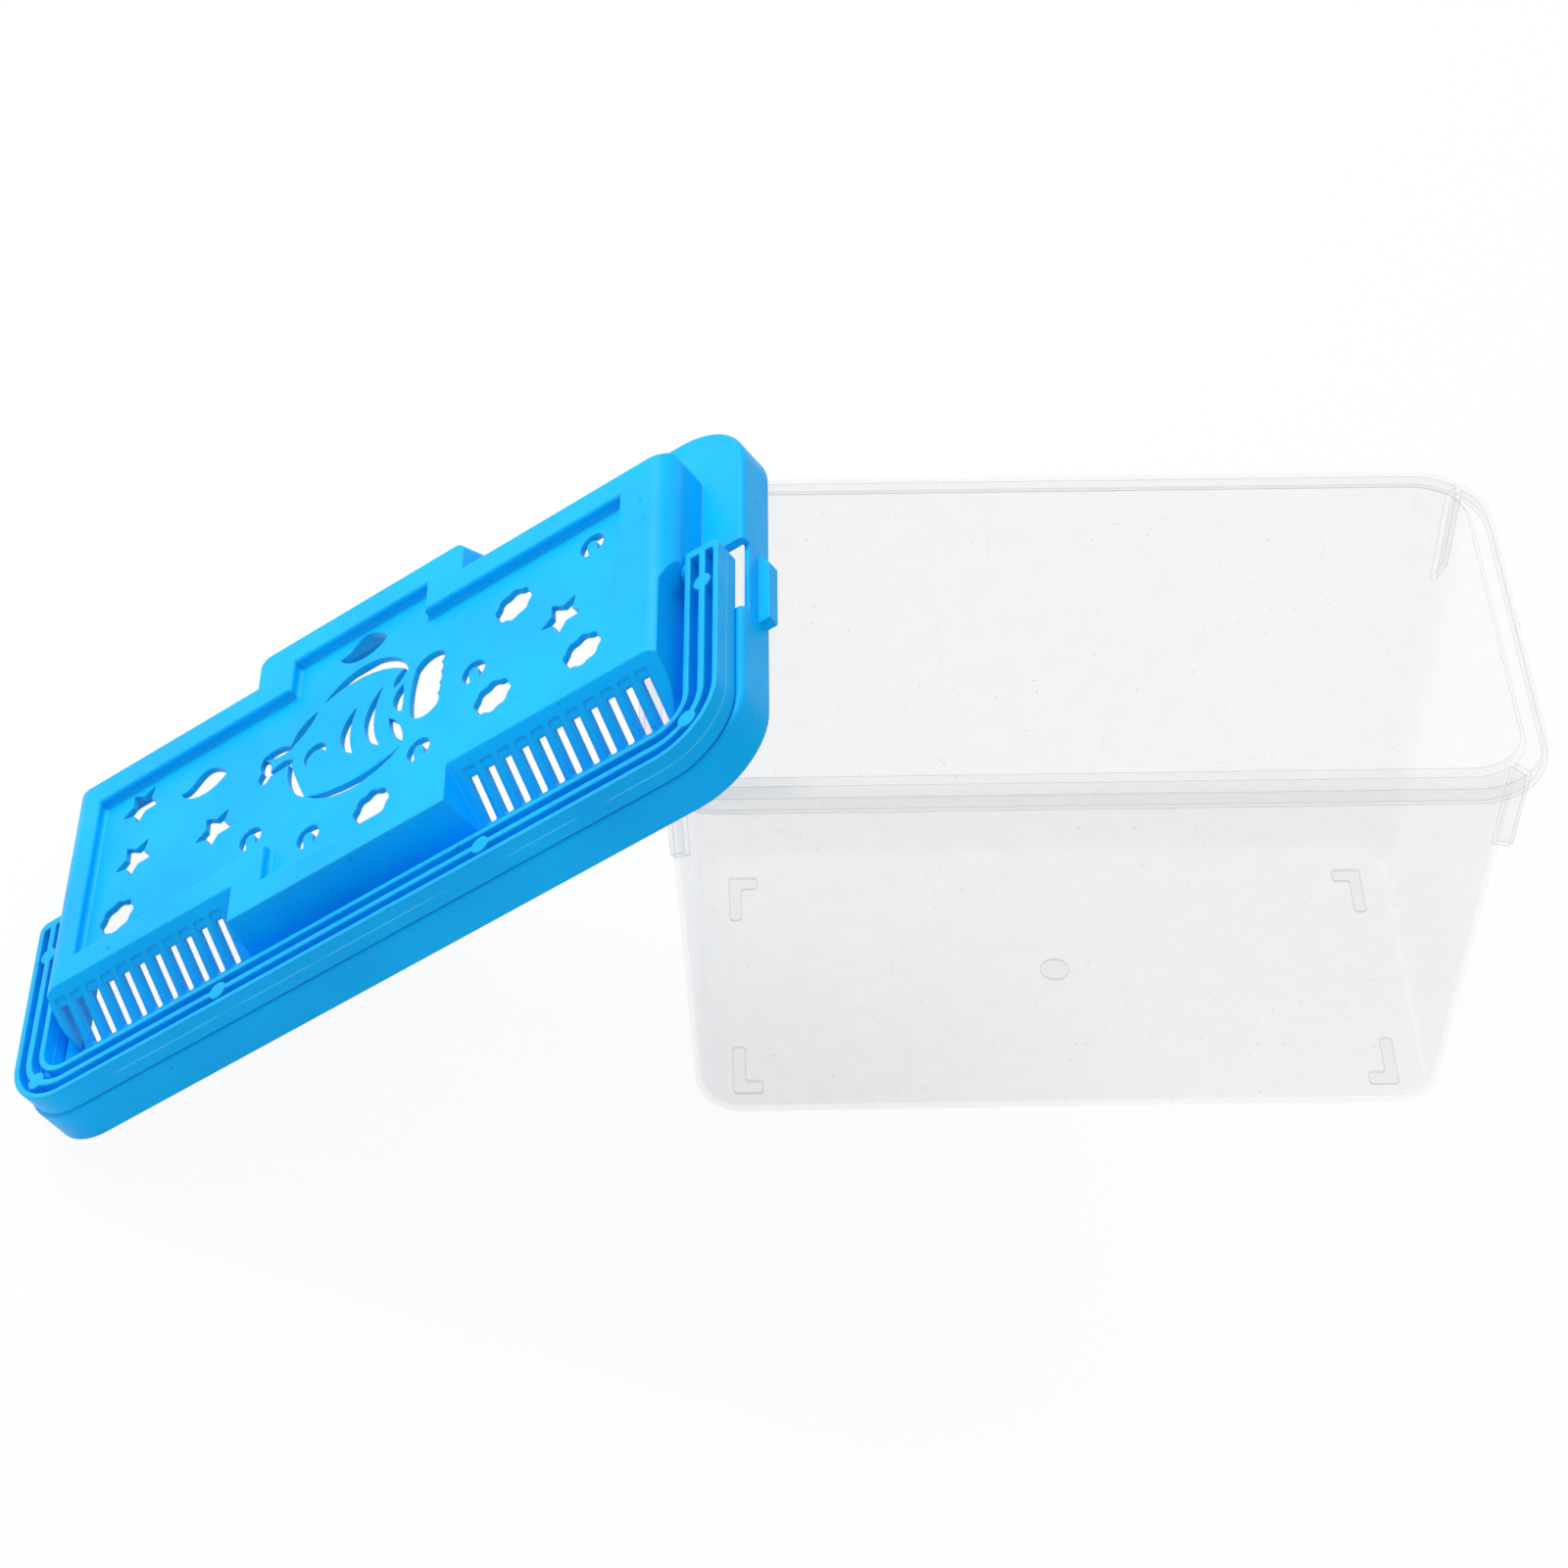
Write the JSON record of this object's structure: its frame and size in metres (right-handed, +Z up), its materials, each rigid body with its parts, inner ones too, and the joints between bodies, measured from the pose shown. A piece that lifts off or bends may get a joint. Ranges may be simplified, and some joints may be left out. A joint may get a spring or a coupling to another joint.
{
  "type": "betta fish tank",
  "caption": "Small clear fish tank with tapered walls and a blue vented lid with finger tabs and folding handle; the lid leans against the tank.",
  "frame": {"origin": "on the table, under the middle of the whole set's footprint: the tank stands to the right and the lid leans on its left rim", "axes": "+X along the tank's length, away from the leaning lid; +Y from the front to the back; +Z up"},
  "size_m": [0.348, 0.1207, 0.1367],
  "materials": {
    "clear_plastic": "clear, slightly milky, smooth moulded",
    "blue_plastic": "glossy moulded"
  },
  "bodies": {
    "tank": {"tank": "clear_plastic"},
    "lid": {"lid": "blue_plastic"},
    "handle": {"handle": "blue_plastic"}
  },
  "joints": [
    {"name": "lid_lift", "type": "slide", "parent": "tank", "child": "lid", "axis": [0, 0, 1], "range_m": [0, 0.16]},
    {"name": "handle_swing", "type": "hinge", "parent": "lid", "child": "handle", "pos_m": [-0.08863, 0.00215, 0.07356], "axis": [-0.8068, 0.0149, -0.5906], "range_deg": [0, 174]}
  ]
}
